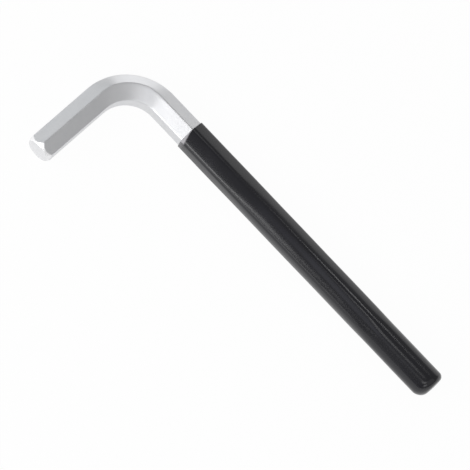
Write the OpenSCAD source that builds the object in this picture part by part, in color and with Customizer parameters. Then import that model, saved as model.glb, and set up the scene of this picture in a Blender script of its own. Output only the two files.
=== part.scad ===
// Hex key with a grip sleeve, in millimetres.
// It lies on its side as it would on a bench: the long arm runs along +X, the short arm
// points to -Y, and the origin is on the bench under the middle of the key's outline.
// One bent bar of hexagonal section carries a closed sleeve stretched over its long arm.
// The sleeve is longer than the arm, and its last part is hollow and round.

/* [Bar] */
// Size of the hexagon across its flats
across_flats = 8; // [7:0.5:11]
// Radius of the bar's six long edges
edge_radius = 0.4; // [0.2:0.05:0.8]
// Long arm, from the short arm's outer flat to the bar's far end
long_reach = 106; // [100:0.5:150]
// Short arm, from the long arm's outer flat to the tip
short_reach = 41.5; // [36:0.5:60]
// Radius of the bend along its inner flat
inner_bend_radius = 10; // [8:0.5:14]

/* [Ends of the bar] */
// Angle between the chamfer's cone and the bar's axis
chamfer_angle = 30; // [20:1:45]
// How far the cone reaches along the middle of each flat
chamfer_on_flats = 0.5; // [0.2:0.1:1]

/* [Sleeve] */
// Distance from the short arm's outer flat to the sleeve's mouth
mouth_distance = 29.4; // [28:0.2:40]
// Wall over the bar's flats
flat_wall = 0.5; // [0.35:0.05:1]
// Radius of the sleeve's long edges, softer than the bar's
sleeve_edge_radius = 1.5; // [1.2:0.1:2]
// How far the sleeve runs on past the bar
tail_length = 25.3; // [14:0.1:40]
// Wall at the closed end
end_wall = 3; // [2.5:0.1:5]
// Radius around the closed end
end_corner_radius = 2.2; // [1:0.1:2.4]
// Radius of the closed end's slight bulge
crown_radius = 24; // [20:1:60]
// How much thinner the long edges get towards the mouth
mouth_thinning = 0.1; // [0:0.05:0.2]
// How much less the round tail measures from its middle than the long edges do
tail_thinning = 0.15; // [0:0.05:0.3]

/* [Hidden] */
$fn = 96;

// The bar, measured from the point where the two arms' axes cross
half_flats = across_flats / 2;
bend_radius = inner_bend_radius + half_flats;
long_end = long_reach - half_flats;
short_end = short_reach - half_flats;
end_face_radius = half_flats - chamfer_on_flats * tan(chamfer_angle);

// The sleeve, measured from its mouth along the long arm
sleeve_flats = across_flats + 2 * flat_wall;
sleeve_start = mouth_distance - half_flats;
sleeve_length = long_end + tail_length - sleeve_start;
bore_length = sleeve_length - end_wall;
tail_start = sleeve_length - tail_length;
sleeve_corner = corner_distance(sleeve_flats, sleeve_edge_radius);
// The outline turned about the arm trims the edges only near the two ends
full_radius = sleeve_corner + 0.01;
mouth_taper = 8;
// The section turns from hexagonal to round over this length, just past the bar
tail_taper = 8;
// Trimmed or not, a wall of 0.1 mm stays over the edges of the bar and the bore
least_radius = corner_distance(across_flats, edge_radius) + 0.1;
mouth_radius = max(least_radius, sleeve_corner - mouth_thinning);
tail_radius = max(least_radius, sleeve_corner - tail_thinning);
// The corner's arc touches the crown's arc from inside, at crown_edge,
// and stays clear of the sleeve's axis on a slim key
corner_arc = min(end_corner_radius, 0.48 * tail_radius);
crown_centre = [0, sleeve_length - crown_radius];
corner_offset = tail_radius - corner_arc;
corner_centre = [corner_offset, crown_centre[1]
    + sqrt((crown_radius - corner_arc) ^ 2 - corner_offset ^ 2)];
crown_edge = crown_centre + (corner_centre - crown_centre)
    * crown_radius / (crown_radius - corner_arc);

// The outline's limits, which put the origin under its middle
left = -half_flats;
right = sleeve_start + sleeve_length;
front = -short_end;
back = tail_radius;

// Distance from the centre of a hexagon with round edges to the outside of an edge
function corner_distance(flats, radius) = (flats / 2 - radius) / cos(30) + radius;

// A hexagon with two edges on the Y axis, its sharp edges replaced by arcs
module round_hexagon(flats, radius) {
    centre_distance = (flats / 2 - radius) / cos(30);
    edge_angles = [for (k = [0:5]) 30 + 60 * k];
    // The flats end where the arcs begin, 30 degrees to each side of an edge
    polygon([for (a = edge_angles, side = [-30, 30])
        centre_distance * [cos(a), sin(a)] + radius * [cos(a + side), sin(a + side)]]);
    for (a = edge_angles)
        translate(centre_distance * [cos(a), sin(a)]) circle(radius);
}

// A straight arm up +Z. The cone leaves a round end face and cuts a scallop into each flat.
module chamfered_arm(length) {
    intersection() {
        linear_extrude(length) round_hexagon(across_flats, edge_radius);
        cylinder(length, end_face_radius + length * tan(chamfer_angle), end_face_radius);
    }
}

module long_arm() {
    translate([bend_radius, 0, 0]) rotate([90, 0, 90]) chamfered_arm(long_end - bend_radius);
}

module short_arm() {
    translate([0, -bend_radius, 0]) rotate([90, 0, 0]) chamfered_arm(short_end - bend_radius);
}

// The section carried round a quarter turn, edge uppermost
module bend() {
    translate([bend_radius, -bend_radius, 0])
        rotate([0, 0, 90])
            rotate_extrude(angle = 90)
                translate([bend_radius, 0]) round_hexagon(across_flats, edge_radius);
}

// Half of the sleeve's lengthwise outline, for the edges and the closed end:
// thinner at the mouth, full along the bar, then the tail with its round, crowned end
module sleeve_outline() {
    polygon([
        [0, 0],
        [mouth_radius, 0],
        [full_radius, mouth_taper],
        [full_radius, tail_start],
        [tail_radius, tail_start + tail_taper],
        [tail_radius, corner_centre[1]],
        crown_edge,
        [0, crown_edge[1]]
    ]);
    translate(corner_centre) circle(corner_arc);
    intersection() {
        translate(crown_centre) circle(crown_radius);
        translate([0, crown_edge[1] - 1]) square([crown_edge[0], sleeve_length]);
    }
}

// The round tail grows out of the flats where the bar ends
module tail_outline() {
    intersection() {
        sleeve_outline();
        polygon([
            [0, tail_start],
            [sleeve_flats / 2, tail_start],
            [tail_radius, tail_start + tail_taper],
            [full_radius, sleeve_length],
            [0, sleeve_length]
        ]);
    }
}

// Moves the key from the crossing of its axes to its place on the bench
module on_bench() {
    translate([-(left + right) / 2, -(front + back) / 2, sleeve_corner]) children();
}

// One bar, chamfered at both ends and bent
module hex_bar() {
    color([0.78, 0.79, 0.8])
        on_bench() {
            short_arm();
            bend();
            long_arm();
        }
}

// A closed sleeve with a hexagonal bore that the bar fills for most of its length
module grip_sleeve() {
    color([0.06, 0.06, 0.07])
        on_bench()
            translate([sleeve_start, 0, 0])
                rotate([90, 0, 90])
                    difference() {
                        union() {
                            intersection() {
                                linear_extrude(sleeve_length)
                                    round_hexagon(sleeve_flats, sleeve_edge_radius);
                                rotate_extrude() sleeve_outline();
                            }
                            rotate_extrude() tail_outline();
                        }
                        linear_extrude(bore_length) round_hexagon(across_flats, edge_radius);
                    }
}

hex_bar();
grip_sleeve();
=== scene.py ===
# %% [markdown]
# # A hex key with a grip sleeve
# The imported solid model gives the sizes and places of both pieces. This lesson rebuilds each
# piece as a finished mesh, gives it its real surface, and photographs it on a white bench.
# Everything is in metres; the long arm runs along +X, the short arm towards -Y, and +Z is up.

from math import atan2, cos, pi, radians, sin, tan

import bmesh
import bpy
from mathutils import Matrix, Vector, noise


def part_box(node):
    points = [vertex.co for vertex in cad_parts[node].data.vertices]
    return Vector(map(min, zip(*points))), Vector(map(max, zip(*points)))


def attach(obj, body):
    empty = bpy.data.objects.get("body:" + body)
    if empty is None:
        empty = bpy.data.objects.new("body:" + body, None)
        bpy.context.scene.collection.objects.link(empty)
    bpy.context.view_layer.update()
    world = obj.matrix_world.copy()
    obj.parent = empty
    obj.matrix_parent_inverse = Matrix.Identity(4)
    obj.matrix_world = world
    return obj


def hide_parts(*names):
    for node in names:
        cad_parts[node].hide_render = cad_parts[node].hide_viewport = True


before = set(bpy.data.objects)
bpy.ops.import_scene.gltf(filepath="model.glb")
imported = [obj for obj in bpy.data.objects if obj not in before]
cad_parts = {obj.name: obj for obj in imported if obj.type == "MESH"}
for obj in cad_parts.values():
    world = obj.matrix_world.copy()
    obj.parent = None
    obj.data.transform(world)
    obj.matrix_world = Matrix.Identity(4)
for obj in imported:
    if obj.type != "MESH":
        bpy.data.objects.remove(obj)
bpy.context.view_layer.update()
MM = 0.001
bar_low, bar_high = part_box("hex_bar")
sleeve_low, sleeve_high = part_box("grip_sleeve")
print("bar", (bar_high - bar_low) / MM, "sleeve", (sleeve_high - sleeve_low) / MM)

# %% [markdown]
# ## The sizes
# A hex key is sized by the distance across its flats. Here an 8 mm bar is bent round a former,
# and the sleeve adds half a millimetre of vinyl on each flat. These few sizes repeat the solid
# model's own values, so that the meshes fall on the solids. Every place is worked out from the
# frame, starting at the point where the axes of the two arms cross.

# %% Sizes shared by both pieces
FLATS = 8.0 * MM
EDGE_RADIUS = 0.4 * MM
BEND_RADIUS = 14.0 * MM
SLEEVE_FLATS = 9.0 * MM
SLEEVE_EDGE_RADIUS = 1.5 * MM
crossing = Vector((bar_low.x + FLATS / 2, bar_high.y - FLATS / 2, (bar_low.z + bar_high.z) / 2))
long_end = bar_high.x - crossing.x
short_end = crossing.y - bar_low.y
mouth = sleeve_low.x - crossing.x
sleeve_end = sleeve_high.x - crossing.x
print("arms", long_end / MM, short_end / MM, "sleeve from", mouth / MM, "to", sleeve_end / MM)

# %% [markdown]
# ## One section for both pieces
# Bar and sleeve share one section, a hexagon with round edges. It could be drawn point by point,
# but a circle of six segments already is that hexagon, and a vertex bevel rounds it: with a
# circular profile the bevel's offset is the corner's tangent length, radius times tan 30. A few
# cuts along each flat give the shading and the later softening something to hold.


# %% A hexagon with round edges
def round_hexagon(bm, flats, radius, arc_steps, flat_cuts):
    """Draws a closed ring of edges in the XY plane, with one of its corners on +Y."""
    bmesh.ops.create_circle(bm, cap_ends=True, segments=6, radius=flats / 2 / cos(radians(30)))
    bmesh.ops.bevel(bm, geom=bm.verts[:], offset=radius * tan(radians(30)), offset_type="OFFSET",
                    affect="VERTICES", segments=arc_steps, profile=0.5, material=-1)
    flat_edges = [e for e in bm.edges if e.calc_length() > flats / 5]
    bmesh.ops.subdivide_edges(bm, edges=flat_edges, cuts=flat_cuts)
    bmesh.ops.delete(bm, geom=bm.faces[:], context="FACES_ONLY")
    return bm.edges[:]


bar = bmesh.new()
section = round_hexagon(bar, FLATS, EDGE_RADIUS, arc_steps=6, flat_cuts=7)
over_corners = 2 * max(v.co.length for v in bar.verts)
print("section of", len(section), "edges,", round(over_corners / MM, 3), "mm over its corners")

# %% [markdown]
# ## The bar
# The real bar is drawn steel of hexagonal section, cropped, chamfered in a lathe and bent cold
# round a former. A curve with a bevel profile could make the same bend, but a ring of edges that
# is swept along the path keeps the flats true, and its ends and ridges can be worked afterwards.
# A quarter spin makes the bend, and extrusions in a few steps make the two arms.


# %% Sweep of the bar
def corners(ring):
    """The vertices of a ring of edges."""
    return list({v for e in ring for v in e.verts})


def carry_on(bm, ring, step):
    """Extrudes a ring by a step and returns the new ring."""
    grown = bmesh.ops.extrude_edge_only(bm, edges=ring)["geom"]
    verts = [g for g in grown if isinstance(g, bmesh.types.BMVert)]
    bmesh.ops.translate(bm, vec=step, verts=verts)
    return [e for e in grown if isinstance(e, bmesh.types.BMEdge) and e.is_boundary]


def carry_along(bm, ring, way, shares):
    """Carries a ring along a straight way in steps, whose lengths keep to the shares."""
    for share in shares:
        ring = carry_on(bm, ring, way * (share / sum(shares)))
    return ring


stand_up = Matrix.Rotation(radians(90), 3, "X")
bmesh.ops.rotate(bar, cent=(0, 0, 0), matrix=stand_up, verts=bar.verts[:])
bmesh.ops.translate(bar, vec=crossing - Vector((0, BEND_RADIUS, 0)), verts=bar.verts[:])
bend_centre = crossing + Vector((BEND_RADIUS, -BEND_RADIUS, 0))
turned = bmesh.ops.spin(bar, geom=bar.verts[:] + section, cent=bend_centre, axis=(0, 0, 1),
                        dvec=(0, 0, 0), angle=-pi / 2, steps=60, use_merge=False,
                        use_duplicate=False)["geom_last"]
long_ring = [e for e in turned if isinstance(e, bmesh.types.BMEdge)]
short_ring = [e for e in section if e.is_boundary]
long_way = Vector((long_end - BEND_RADIUS, 0, 0))
short_way = Vector((0, BEND_RADIUS - short_end, 0))
long_ring = carry_along(bar, long_ring, long_way, shares=(8, 20, 40, 40))
short_ring = carry_along(bar, short_ring, short_way, shares=(8, 8, 5.4))
print("straight arms", long_way.length / MM, short_way.length / MM, "mm,", len(bar.faces), "faces")

# %% [markdown]
# ## What bending does to the section
# Metal on the outside of a cold bend is stretched, and the two ridges between inside and outside
# are dragged outwards a little. A second, distorted section could be blended in, but moving the
# points of the sweep is simpler: in the middle of the bend each one goes outwards, most at the
# top and bottom ridges and not at all at the inner and outer walls. A soft step fades the drag
# out towards both arms.

# %% Drawn ridges in the bend
RIDGE_DRAG = 0.7 * MM
FADE_ANGLE = radians(28)
SHARP_CORNER = FLATS / 2 / cos(radians(30))


def smooth_step(low, high, x):
    """0 below low, 1 above high, and a soft S between them."""
    t = min(max((x - low) / (high - low), 0.0), 1.0)
    return t * t * (3 - 2 * t)


dragged = 0
for v in bar.verts:
    out = v.co - bend_centre
    if out.x > 0 or out.y < 0:
        continue
    angle = atan2(out.y, -out.x)
    share = smooth_step(0, FADE_ANGLE, angle) * smooth_step(0, FADE_ANGLE, pi / 2 - angle)
    ridge = max(2 * abs(out.z) / SHARP_CORNER - 1, 0)
    v.co += Vector((out.x, out.y, 0)).normalized() * (RIDGE_DRAG * share * ridge)
    dragged += 1
print("points in the bend", dragged)

# %% [markdown]
# ## Its two ends
# A lathe tool turns a 30 degree cone on each end before bending. Where the cone meets a flat it
# cuts a shallow curve, and at the six edges it cuts deeper, which leaves the scallops that the
# photograph shows. Sliding the last ring of vertices back along the arm until it lies on the
# cone gives that curve exactly, without a boolean. A smaller ring closes the round end face,
# and light bevels break the new edges as the lathe and the plating do.

# %% Chamfered ends
CHAMFER = radians(30)
CHAMFER_ON_FLATS = 0.5 * MM
END_FACE_RADIUS = FLATS / 2 - CHAMFER_ON_FLATS * tan(CHAMFER)
SCALLOP_BREAK = 0.1 * MM
FACE_BREAK = 0.16 * MM


def break_edges(bm, edges, width, steps):
    """Takes the sharpness off some edges."""
    bmesh.ops.bevel(bm, geom=edges, offset=width, offset_type="OFFSET", affect="EDGES",
                    segments=steps, profile=0.5, material=-1)


def turned_end(bm, ring, tip, axis):
    """Lays the ring on the chamfer's cone and closes it with the flat, round end face."""
    for v in corners(ring):
        radial = (v.co - tip) - axis * (v.co - tip).dot(axis)
        v.co = tip + radial - axis * ((radial.length - END_FACE_RADIUS) / tan(CHAMFER))
    face_ring = carry_on(bm, ring, Vector())
    for v in corners(face_ring):
        radial = (v.co - tip) - axis * (v.co - tip).dot(axis)
        v.co = tip + radial.normalized() * END_FACE_RADIUS
    bmesh.ops.edgeloop_fill(bm, edges=face_ring)
    break_edges(bm, ring, SCALLOP_BREAK, 2)
    break_edges(bm, [e for e in face_ring if e.is_valid], FACE_BREAK, 3)


turned_end(bar, long_ring, crossing + Vector((long_end, 0, 0)), Vector((1, 0, 0)))
turned_end(bar, short_ring, crossing + Vector((0, -short_end, 0)), Vector((0, -1, 0)))
print("end faces", round(2 * END_FACE_RADIUS / MM, 2), "mm across")

# %% [markdown]
# The bar is now a closed skin. It becomes an object at the origin with its place in its mesh,
# which is what a pattern on Object coordinates needs. Smooth shading alone would let the round
# edges pull at the flats, so a Weighted Normal modifier gives the large faces the last word and
# the flats shine as flats.


# %% The finished bar
def finished_mesh(bm, name):
    """Makes the bmesh an object at the origin, smooth and with its faces outwards."""
    bmesh.ops.recalc_face_normals(bm, faces=bm.faces[:])
    mesh = bpy.data.meshes.new(name)
    bm.to_mesh(mesh)
    bm.free()
    mesh.shade_smooth()
    piece = bpy.data.objects.new(name, mesh)
    bpy.context.scene.collection.objects.link(piece)
    triangles = sum(len(p.vertices) - 2 for p in mesh.polygons)
    print(name, len(mesh.vertices), "vertices,", triangles, "triangles")
    return piece


bar_piece = finished_mesh(bar, "bent_bar")
true_flats = bar_piece.modifiers.new("true_flats", "WEIGHTED_NORMAL")
true_flats.weight = 80

# %% [markdown]
# ## The sleeve
# The sleeve is soft vinyl, pushed on warm. It is longer than the arm, and its closed end is a
# shallow dome with a round corner. One ring of edges is carried along the arm in many short
# steps, because a glossy black surface shows every step of its mesh in its highlights. The
# straight part stops where the largest corner of the end begins, so that no ring folds back.

# %% Sweep of the sleeve
STATIONS = 240
TAIL_RADIUS = 4.78 * MM
CROWN_RADIUS = 24 * MM
# The end's corner on the side of the short arm, and on the key's outer side
FRONT_ROUND = 2.8 * MM
BACK_ROUND = 1.4 * MM
# How much further the end reaches on the outer side
END_LEAN = 0.2 * MM


def dome_drop(radius):
    """How far the dome falls back from the sleeve's tip at a distance from its axis."""
    return radius * radius / (2 * CROWN_RADIUS)


straight = sleeve_end - mouth - (FRONT_ROUND + END_LEAN + dome_drop(TAIL_RADIUS))
spacing = straight / STATIONS
sleeve = bmesh.new()
mouth_ring = round_hexagon(sleeve, SLEEVE_FLATS, SLEEVE_EDGE_RADIUS, arc_steps=10, flat_cuts=6)
face_along_arm = Matrix.Rotation(radians(90), 3, "Z") @ stand_up
bmesh.ops.rotate(sleeve, cent=(0, 0, 0), matrix=face_along_arm, verts=sleeve.verts[:])
bmesh.ops.translate(sleeve, vec=crossing + Vector((mouth, 0, 0)), verts=sleeve.verts[:])
sweep = [mouth_ring]
for k in range(STATIONS):
    sweep.append(carry_on(sleeve, sweep[-1], Vector((spacing, 0, 0))))
print("a station every", round(spacing / MM, 3), "mm over", round(straight / MM, 2), "mm")

# %% [markdown]
# Along the bar the vinyl follows the hexagon with rounder edges: nearly true flats at the mouth,
# where it grips, and fuller ones further on. The bar ends inside it, and from there the hollow
# tail is round. Each ring is eased towards a circle by its own share, so the change is smooth
# and needs no second section. A faint wave of noise keeps the highlights from being ruler
# straight, as on any stretched skin.

# %% From hexagon to round
MOUTH_ROUNDNESS = 0.13
TAIL_ROUNDNESS = 0.98
# How much rounder it gets along the bar, each time between two places behind the mouth
FULLER = ((0.27, 12 * MM, 34 * MM), (0.2, 40 * MM, 70 * MM))
# Where the tail's change begins and ends, measured from the bar's end
TAIL_CHANGE = (-3.5 * MM, 4.5 * MM)
WAVE_HEIGHT = 0.04 * MM
WAVES_PER_METRE = 70
WAVES_AROUND = 0.9


def away(v):
    """The part of a vertex's place that points straight away from the long arm's axis."""
    return Vector((0, v.co.y - crossing.y, v.co.z - crossing.z))


def roundness(x):
    """How round the sleeve is behind its mouth: 0 for the hexagon, 1 for a circle."""
    on_bar = MOUTH_ROUNDNESS
    for more, start, end in FULLER:
        on_bar += more * smooth_step(start, end, x)
    tail = smooth_step(*TAIL_CHANGE, x - (long_end - mouth))
    return on_bar + (TAIL_ROUNDNESS - on_bar) * tail


for k, station in enumerate(sweep):
    x = k * spacing
    for v in corners(station):
        out = away(v)
        v.co += out.normalized() * (TAIL_RADIUS - out.length) * roundness(x)
        side = away(v).normalized()
        along = Vector((v.co.x * WAVES_PER_METRE, 0, 0))
        wave = noise.noise(along + side * WAVES_AROUND)
        v.co += side * wave * WAVE_HEIGHT * smooth_step(0, 10 * MM, x)
print("roundness every 20 mm", [round(roundness(x * MM), 2) for x in range(0, 101, 20)])

# %% [markdown]
# The closed end has a corner that is rounder towards the short arm than on the key's outer side,
# as on a dipped sleeve that hung a little askew while it set. A bevel has one width all round,
# so each ring is placed by the angle through which the corner has turned, with a radius that
# depends on the side. Smaller rings then carry the dome to its middle.

# %% Closed end
CORNER_STEPS = 9
tip = crossing.x + sleeve_end


def corner_round(direction):
    """The corner's radius on the side that a direction points to."""
    outside = (1 + direction.y) / 2
    return FRONT_ROUND + (BACK_ROUND - FRONT_ROUND) * outside


def place_on_end(v, direction, radius, turn):
    """Sets a vertex on the end, where the corner has turned through an angle."""
    v.co = crossing + direction * radius
    v.co.x = tip - dome_drop(radius) - corner_round(direction) * (1 - sin(turn))
    v.co.x += END_LEAN / 2 * (away(v).y / (SLEEVE_FLATS / 2) - 1)


def turn_corner(ring, before, turn):
    """Moves a ring on round the corner, from one angle to the next."""
    for v in corners(ring):
        direction = away(v).normalized()
        flat_part = away(v).length - corner_round(direction) * cos(before)
        place_on_end(v, direction, flat_part + corner_round(direction) * cos(turn), turn)


ring = sweep[-1]
turn_corner(ring, 0, 0)
for k in range(CORNER_STEPS):
    ring = carry_on(sleeve, ring, Vector())
    turn_corner(ring, pi / 2 * k / CORNER_STEPS, pi / 2 * (k + 1) / CORNER_STEPS)
dome_shares = (1, 0.8, 0.55, 0.3, 0.1)
for before, share in zip(dome_shares, dome_shares[1:]):
    ring = carry_on(sleeve, ring, Vector())
    for v in corners(ring):
        place_on_end(v, away(v).normalized(), away(v).length * share / before, pi / 2)
bmesh.ops.edgeloop_fill(sleeve, edges=ring)
print("corner radii", FRONT_ROUND / MM, BACK_ROUND / MM, "mm")
print("height of the dome", round(dome_drop(TAIL_RADIUS) / MM, 2), "mm")

# %% [markdown]
# The mouth is cut square by hand, and the cut edge has a thickness: a lip runs inwards to the
# bar. A Solidify modifier would thicken the whole skin evenly, but the real bore has the bar's
# own section. So the lip is drawn in until it touches the bar, and the bore follows the steel
# out of sight and goes on past it, because the tail is hollow up to the thick closed end.

# %% Mouth and bore
END_WALL = 3 * MM
MOUTH_BREAK = 0.16 * MM
BAR_CORNER = (FLATS / 2 - EDGE_RADIUS) / cos(radians(30)) + EDGE_RADIUS
flat_normals = [Vector((0, cos(radians(60 * k)), sin(radians(60 * k)))) for k in range(6)]


def bar_reach(direction):
    """How far the bar's surface lies from its axis, straight out in a direction."""
    return min(FLATS / 2 / max(direction.dot(normal) for normal in flat_normals), BAR_CORNER)


lip = carry_on(sleeve, [e for e in mouth_ring if e.is_boundary], Vector())
for v in corners(lip):
    out = away(v)
    v.co += out.normalized() * bar_reach(out.normalized()) - out
bore_length = sleeve_end - mouth - END_WALL
bore_ring = carry_on(sleeve, lip, Vector((bore_length, 0, 0)))
bore_end = bmesh.ops.edgeloop_fill(sleeve, edges=bore_ring)["faces"]
bmesh.ops.poke(sleeve, faces=bore_end)
break_edges(sleeve, mouth_ring, MOUTH_BREAK, 3)
open_edges = sum(e.is_boundary for e in sleeve.edges)
print("bore", round(bore_length / MM, 2), "mm long, open edges", open_edges)
sleeve_piece = finished_mesh(sleeve, "vinyl_sleeve")

# %% [markdown]
# ## Shader maths
# Patterns are easier to read as Python expressions than as chains of nodes. A Wire holds one
# output socket, and its operators add the Math nodes that an expression needs. Every other node
# comes from its node method, and join and maths reach the Math operations that have no sign.
# The masks below are made of rises, each a clamped slope along one distance.


# %% Nodes as expressions
class Wire:
    """One output socket. Operators on wires and numbers add Math nodes to its tree."""

    def __init__(self, tree, socket=None):
        self.tree = tree
        self.socket = socket

    def node(self, kind, settings=None, sockets=None, out=0):
        """Adds a node: its settings first, then the values or links of its sockets."""
        new = self.tree.nodes.new(kind)
        for name, value in (settings or {}).items():
            setattr(new, name, value)
        for name, value in (sockets or {}).items():
            if isinstance(value, Wire):
                self.tree.links.new(value.socket, new.inputs[name])
            else:
                new.inputs[name].default_value = value
        return Wire(self.tree, new.outputs[out])

    def parts(self):
        """The X, Y and Z of a vector, as three wires from one node."""
        split = self.node("ShaderNodeSeparateXYZ", {}, {"Vector": self}).socket.node
        return [Wire(self.tree, socket) for socket in split.outputs]

    def join(self, operation, values, clamp=False):
        """One Math node over wires and numbers."""
        settings = {"operation": operation, "use_clamp": clamp}
        return self.node("ShaderNodeMath", settings, dict(enumerate(values)))

    def maths(self, operation, *others, clamp=False):
        """The same with this wire as the first value."""
        return self.join(operation, (self,) + others, clamp)

    def rise(self, slope):
        """0 where the wire is below 0, then a rise to 1 by the slope."""
        return self.maths("MULTIPLY", slope, clamp=True)

    def __add__(self, other):
        return self.join("ADD", (self, other))

    def __radd__(self, other):
        return self.join("ADD", (other, self))

    def __sub__(self, other):
        return self.join("SUBTRACT", (self, other))

    def __rsub__(self, other):
        return self.join("SUBTRACT", (other, self))

    def __mul__(self, other):
        return self.join("MULTIPLY", (self, other))

    def __rmul__(self, other):
        return self.join("MULTIPLY", (other, self))


# %% [markdown]
# A Math node would turn a colour grey, so colours are mixed by a Mix node of their own. Three
# more helpers keep the materials short: one starts an empty material, one adds a noise pattern
# on a piece's own coordinates, and one links the finished shader and puts it on the piece.


# %% Helpers for surfaces
def new_surface(name):
    """An empty material, and a wire from which its nodes are added."""
    material = bpy.data.materials.new(name)
    material.use_nodes = True
    material.node_tree.nodes.clear()
    return material, Wire(material.node_tree)


def speckle(place, spots_per_metre, detail):
    """Soft noise around one half, fixed to the piece."""
    sockets = {"Vector": place, "Scale": spots_per_metre, "Detail": detail}
    return place.node("ShaderNodeTexNoise", {}, sockets)


def mix_colours(share, first, second):
    """The first colour where share is 0 and the second where it is 1."""
    # A Mix node has its factor in socket 0, its colours in 6 and 7, and the mixed one in 2
    sockets = {0: share, 6: first, 7: second}
    return share.node("ShaderNodeMix", {"data_type": "RGBA"}, sockets, out=2)


def dress(piece, material, shader):
    """Links a shader to its material's output and puts the material on a piece."""
    tree = material.node_tree
    output = tree.nodes.new("ShaderNodeOutputMaterial")
    tree.links.new(shader.socket, output.inputs["Surface"])
    piece.data.materials.append(material)
    print(piece.name, "has", material.name, "of", len(tree.nodes), "nodes")


# %% [markdown]
# ## Plated steel
# The bar has a thin bright plating over drawn steel, soft rather than mirror bright. The cone
# and the end face were turned in a lathe, so they carry fine rings and are paler, partly as bare
# steel and partly as a painted reflection of the bright light they catch. They could be separate
# material slots with a hard seam between them, but a mask from the distances to the short arm's
# axis and to its tip finds them on any mesh. The far end is out of sight.

# %% Where the lathe has cut
CONE_BLUR = 0.14 * MM
FACE_BLUR = 0.08 * MM
CONE_ZONE = 2 * MM
RING_PITCH = 0.15 * MM
steel, w = new_surface("bright_plated_steel")
place = w.node("ShaderNodeTexCoord", out="Object")
x, y, z = place.parts()
sideways = x - crossing.x
upwards = z - crossing.z
from_axis = (sideways * sideways + upwards * upwards).maths("SQRT")
past_tip = y - (crossing.y - short_end)
off_cone = (from_axis - past_tip * tan(CHAMFER) - END_FACE_RADIUS).maths("ABSOLUTE")
near_tip = (CONE_ZONE - past_tip).rise(1 / MM)
on_cone = near_tip * (1 - off_cone.rise(1 / CONE_BLUR))
on_face = 1 - past_tip.rise(1 / FACE_BLUR)
turned_and_painted_pale = on_cone.maths("MAXIMUM", on_face * 0.5)
rings = (from_axis * (2 * pi / RING_PITCH)).maths("SINE") * turned_and_painted_pale
print("nodes of the lathe mask:", len(w.tree.nodes))

# %% [markdown]
# Plating is never quite even. Wide clouds and a finer mottle shift the tint by a few percent,
# the clouds also change the gloss, and a fine grain with the lathe's rings bends the light a
# little. All three follow the metal and stay where they are when the key is turned.

# %% Tint, gloss and grain of the plating
cloud = speckle(place, 160.0, 3.0)
mottle = speckle(place, 500.0, 2.0)
grain = speckle(place, 6000.0, 2.0)
plating = mix_colours(0.5 * cloud + 0.5 * mottle, (0.69, 0.70, 0.72, 1), (0.80, 0.80, 0.81, 1))
relief = w.node("ShaderNodeBump", {}, {
    "Height": grain + 0.4 * rings,
    "Strength": 0.05,
    "Distance": 0.02 * MM,
})
metal = w.node("ShaderNodeBsdfPrincipled", {}, {
    # Nearly white on the turned cone and end face: partly bare steel, partly a painted reflection
    "Base Color": mix_colours(turned_and_painted_pale, plating, (0.98, 0.98, 0.99, 1)),
    "Metallic": 1.0,
    "Roughness": 0.34 + 0.08 * cloud + 0.12 * turned_and_painted_pale,
    "Normal": relief,
})
dress(bar_piece, steel, metal)

# %% [markdown]
# ## Black vinyl
# At the mouth a highlight is painted into the vinyl's colour: a pale grey wedge on the upper
# facet towards the short arm, widest at that facet's inner edge, and a fainter painted highlight
# on the flat below it, where the curled lip catches the light. Painting them by hand would need a
# picture file. Instead the mask turns the piece's coordinates into millimetres across that facet,
# out from the axis and behind the cut.

# %% The painted highlight at the mouth
FACET_TILT = radians(60)
# Sizes of the painted highlight in millimetres, and its slope and raggedness
HALF_FACET = 2.6
FACET_FOOT = -3.1
UNDER_THE_SKIN = 3.9
LOWER_HIGHLIGHT_LENGTH = 1.6
WEDGE_SLOPE = 0.29
RAGGEDNESS = 0.25
vinyl, w = new_surface("glossy_black_vinyl")
place = w.node("ShaderNodeTexCoord", out="Object")
skin = speckle(place, 1500.0, 3.0)
x, y, z = place.parts()
inwards = (crossing.y - y) * (1 / MM)
upwards = (z - crossing.z) * (1 / MM)
behind_cut = (x - (crossing.x + mouth)) * (1 / MM)
up_facet = cos(FACET_TILT) * upwards - sin(FACET_TILT) * inwards
off_facet = sin(FACET_TILT) * upwards + cos(FACET_TILT) * inwards
on_facet = (off_facet - UNDER_THE_SKIN).rise(4) * (up_facet - FACET_FOOT).rise(3)
wedge_reach = WEDGE_SLOPE * (HALF_FACET - up_facet) + RAGGEDNESS * (skin - 0.5)
# Painted highlight: a pale wedge where the curled lip at the mouth catches the key light
wedge = (wedge_reach - behind_cut).rise(2.2) * on_facet
on_inner_flat = (inwards - UNDER_THE_SKIN).rise(4)
# A fainter painted highlight on the flat below, where the lip also catches the light
painted_lower_highlight = (LOWER_HIGHLIGHT_LENGTH - behind_cut).rise(0.6) * on_inner_flat
painted_lip_highlight = wedge.maths("MAXIMUM", 0.4 * painted_lower_highlight)
print("nodes of the scuff mask:", len(w.tree.nodes))

# %% [markdown]
# The vinyl itself is nearly black with a trace of blue, glossy where it is tight and a shade
# duller in soft clouds. A very faint skin texture breaks the highlights, and a little sheen
# stands for the fine dust that soft vinyl always carries. The painted highlight at the mouth
# is pale and matt.

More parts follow.
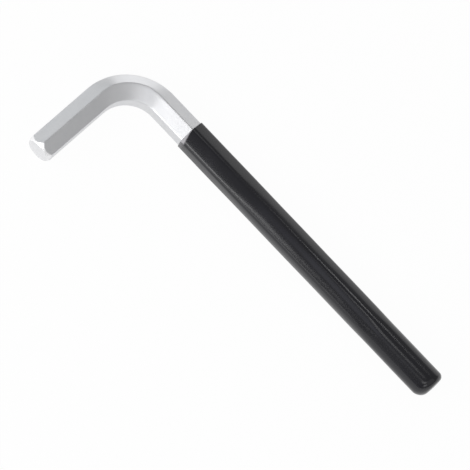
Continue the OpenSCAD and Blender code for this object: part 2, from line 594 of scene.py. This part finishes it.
# %% Tint, gloss and skin of the vinyl
cloud = speckle(place, 120.0, 3.0)
black = mix_colours(cloud, (0.0018, 0.0018, 0.0042, 1), (0.0032, 0.0032, 0.008, 1))
relief = w.node("ShaderNodeBump", {}, {"Height": skin, "Strength": 0.015, "Distance": 0.05 * MM})
plastic = w.node("ShaderNodeBsdfPrincipled", {}, {
    # The pale grey is a painted highlight at the mouth, not a colour of the vinyl
    "Base Color": mix_colours(painted_lip_highlight, black, (0.42, 0.41, 0.43, 1)),
    "Roughness": 0.15 + 0.07 * cloud + 0.3 * painted_lip_highlight,
    "Normal": relief,
    "IOR": 1.58,
    "Sheen Weight": 0.16,
    "Sheen Roughness": 0.35,
})
dress(sleeve_piece, vinyl, plastic)

# %% [markdown]
# ## The bench
# A white sweep under soft light is the plainest product photograph. Lamps bright enough to turn
# the bench paper white would burn out the steel. So the bench glows, but only for the camera
# and, somewhat less, for reflections, because bright metal has to show it too. A little of its
# real shading stays in, which keeps a trace of the key's shadow.

# %% White bench
bench_shape = bmesh.new()
bmesh.ops.create_grid(bench_shape, x_segments=1, y_segments=1, size=2.0)
bench_mesh = bpy.data.meshes.new("bench")
bench_shape.to_mesh(bench_mesh)
bench_shape.free()
bench = bpy.data.objects.new("bench", bench_mesh)
bpy.context.scene.collection.objects.link(bench)
white, w = new_surface("white_bench")
paper = w.node("ShaderNodeBsdfDiffuse", {}, {"Color": (0.9, 0.9, 0.9, 1)})
glow = w.node("ShaderNodeEmission", {}, {"Color": (1, 1, 1, 1), "Strength": 1.0})
eye = w.node("ShaderNodeLightPath", out="Is Camera Ray")
mirror = w.node("ShaderNodeLightPath", out="Is Glossy Ray")
mixed = w.node("ShaderNodeMixShader", {}, {0: 0.97 * eye + 0.75 * mirror, 1: paper, 2: glow})
dress(bench, white, mixed)

# %% [markdown]
# The world around the bench fills the shadows evenly. It is white to the camera and about a
# third as bright to everything else, so that it lights the key without flattening it.

# %% Surroundings
FILL = 0.33
world = bpy.data.worlds.new("studio")
bpy.context.scene.world = world
world.use_nodes = True
eye = Wire(world.node_tree).node("ShaderNodeLightPath", out="Is Camera Ray")
strength = FILL + (1 - FILL) * eye
backdrop = world.node_tree.nodes["Background"]
backdrop.inputs["Color"].default_value = (1, 1, 1, 1)
world.node_tree.links.new(strength.socket, backdrop.inputs["Strength"])
print("fill light", FILL)

# %% [markdown]
# ## Light for the steel
# Bright steel has hardly any colour of its own: each flat shows what stands opposite it. So
# each flat gets a card in its mirror direction, as a product photographer would place white
# boards. A card's radiance counts paper white as 1, and its distance and size say how far the
# light reaches along the bar. The camera doesn't see the cards.

# %% Cards round the bent bar
LEFT_HIGH = (-0.86, 0.35, 0.36)


def softbox(name, towards, distance, size, radiance, aim=(0, 0, 0), tint=(1, 1, 1)):
    """A rectangular lamp: radiance 1 is as bright as white paper in full light."""
    lamp = bpy.data.lights.new(name, "AREA")
    lamp.shape = "RECTANGLE"
    lamp.size, lamp.size_y = size
    lamp.energy = radiance * pi * size[0] * size[1]
    lamp.color = tint
    rig = bpy.data.objects.new(name, lamp)
    rig.location = Vector(aim) + Vector(towards).normalized() * distance
    rig.rotation_euler = Vector(towards).to_track_quat("Z", "Y").to_euler()
    rig.visible_camera = False
    bpy.context.scene.collection.objects.link(rig)
    print(name, round(lamp.energy, 3), "W")


def on_long_arm(x):
    """A place on the long arm's axis, or in line with it."""
    return Vector((x, crossing.y, crossing.z))


short_tip = crossing - Vector((0, short_end + 3 * MM, 0))
short_ridge = Vector((crossing.x - 2.4 * MM, 0, crossing.z))
# The long arm's bright upper flat, and that flat's way round the bend
softbox("key_softbox", (-0.41, -0.767, 0.537), 0.6, (0.36, 0.25), 5.4)
softbox("bend_card", (0.30, -0.53, 0.79), 1.0, (0.5, 0.28), 1.4)
# The two upper flats of the short arm, of which the outer one is paler near its tip
softbox("right_card", (0.76, 0.05, 0.62), 1.0, (0.9, 0.9), 0.24)
softbox("side_card", LEFT_HIGH, 0.8, (0.3, 0.3), 0.45, tint=(0.92, 0.97, 1.0))
softbox("tip_card", LEFT_HIGH, 0.2, (0.06, 0.06), 0.4, aim=short_tip)
# Both sides of the cone, the outer side of the bend, and the ridge on top of the short arm
softbox("cone_card", (0.71, -0.55, 0.40), 1.0, (0.35, 0.25), 1.6)
softbox("left_card", (-0.85, -0.45, 0.28), 1.0, (0.9, 0.4), 1.0)
softbox("corner_card", (-0.54, 0.80, 0.185), 0.8, (0.5, 0.3), 1.1)
softbox("ridge_card", (-0.08, 0.36, 0.93), 0.25, (0.06, 0.08), 0.9, aim=short_ridge)

# %% [markdown]
# ## Light for the sleeve
# Gloss on black shows as thin lines and soft bands, and almost nothing else. A low card from the
# front and one from the back give the two long edges their grey bands. Narrow strips above draw
# the lines, one on the ridge along the bar and one on the round tail, and a dim bluish strip
# gives the upper facet its sheen. The strips stand close, so that each line fades where it does
# in the photograph.

# %% Bands and lines on the sleeve
softbox("front_card", (0, -0.985, 0.17), 0.4, (0.22, 0.13), 1.3, aim=on_long_arm(-100 * MM))
softbox("horizon_card", (0.1, 0.98, 0.15), 0.5, (0.34, 0.16), 0.6, aim=on_long_arm(20 * MM))
softbox("sheen_strip", (-0.05, -0.48, 0.87), 0.3, (0.04, 0.09), 0.6, aim=on_long_arm(22 * MM),
        tint=(0.85, 0.87, 1.0))
softbox("ridge_strip", (-0.07, 0.58, 0.81), 0.4, (0.02, 0.09), 5.3, aim=on_long_arm(33 * MM))
softbox("tail_strip", (0, -0.17, 0.98), 0.4, (0.022, 0.07), 3.2, aim=on_long_arm(22 * MM))

# %% [markdown]
# ## The camera
# The photograph was taken from well above with a long lens, leaning back by about 21 degrees
# and turned so that the key lies across the picture. The place and the two directions were
# found by matching the outline's corners, and the frame is square. A matrix made of the
# camera's own right, up and backward directions turns it without any angles.

# %% Camera
CAMERA_PLACE = Vector((115.789, -527.708, 1392.667)) * MM
CAMERA_FORWARD = Vector((-0.081407, 0.357179, -0.930482))
PICTURE_UP = Vector((-0.721667, 0.622792, 0.302205))
LENS = 396.019
camera = bpy.data.cameras.new("camera")
camera.lens = LENS
camera.sensor_width = 36
right = CAMERA_FORWARD.cross(PICTURE_UP).normalized()
up = right.cross(CAMERA_FORWARD).normalized()
turn = Matrix((right, up, -CAMERA_FORWARD)).transposed().to_4x4()
camera_rig = bpy.data.objects.new("camera", camera)
camera_rig.matrix_world = Matrix.Translation(CAMERA_PLACE) @ turn
bpy.context.scene.collection.objects.link(camera_rig)
bpy.context.scene.camera = camera_rig
bpy.context.scene.view_settings.view_transform = "Standard"
print("camera", round(CAMERA_PLACE.length, 3), "m from the origin, lens", LENS, "mm")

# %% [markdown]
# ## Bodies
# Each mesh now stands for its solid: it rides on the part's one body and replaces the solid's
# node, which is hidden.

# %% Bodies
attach(bar_piece, "root")
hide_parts("hex_bar")
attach(sleeve_piece, "root")
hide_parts("grip_sleeve")
print(bar_piece.name, "and", sleeve_piece.name, "stand for the two solids")
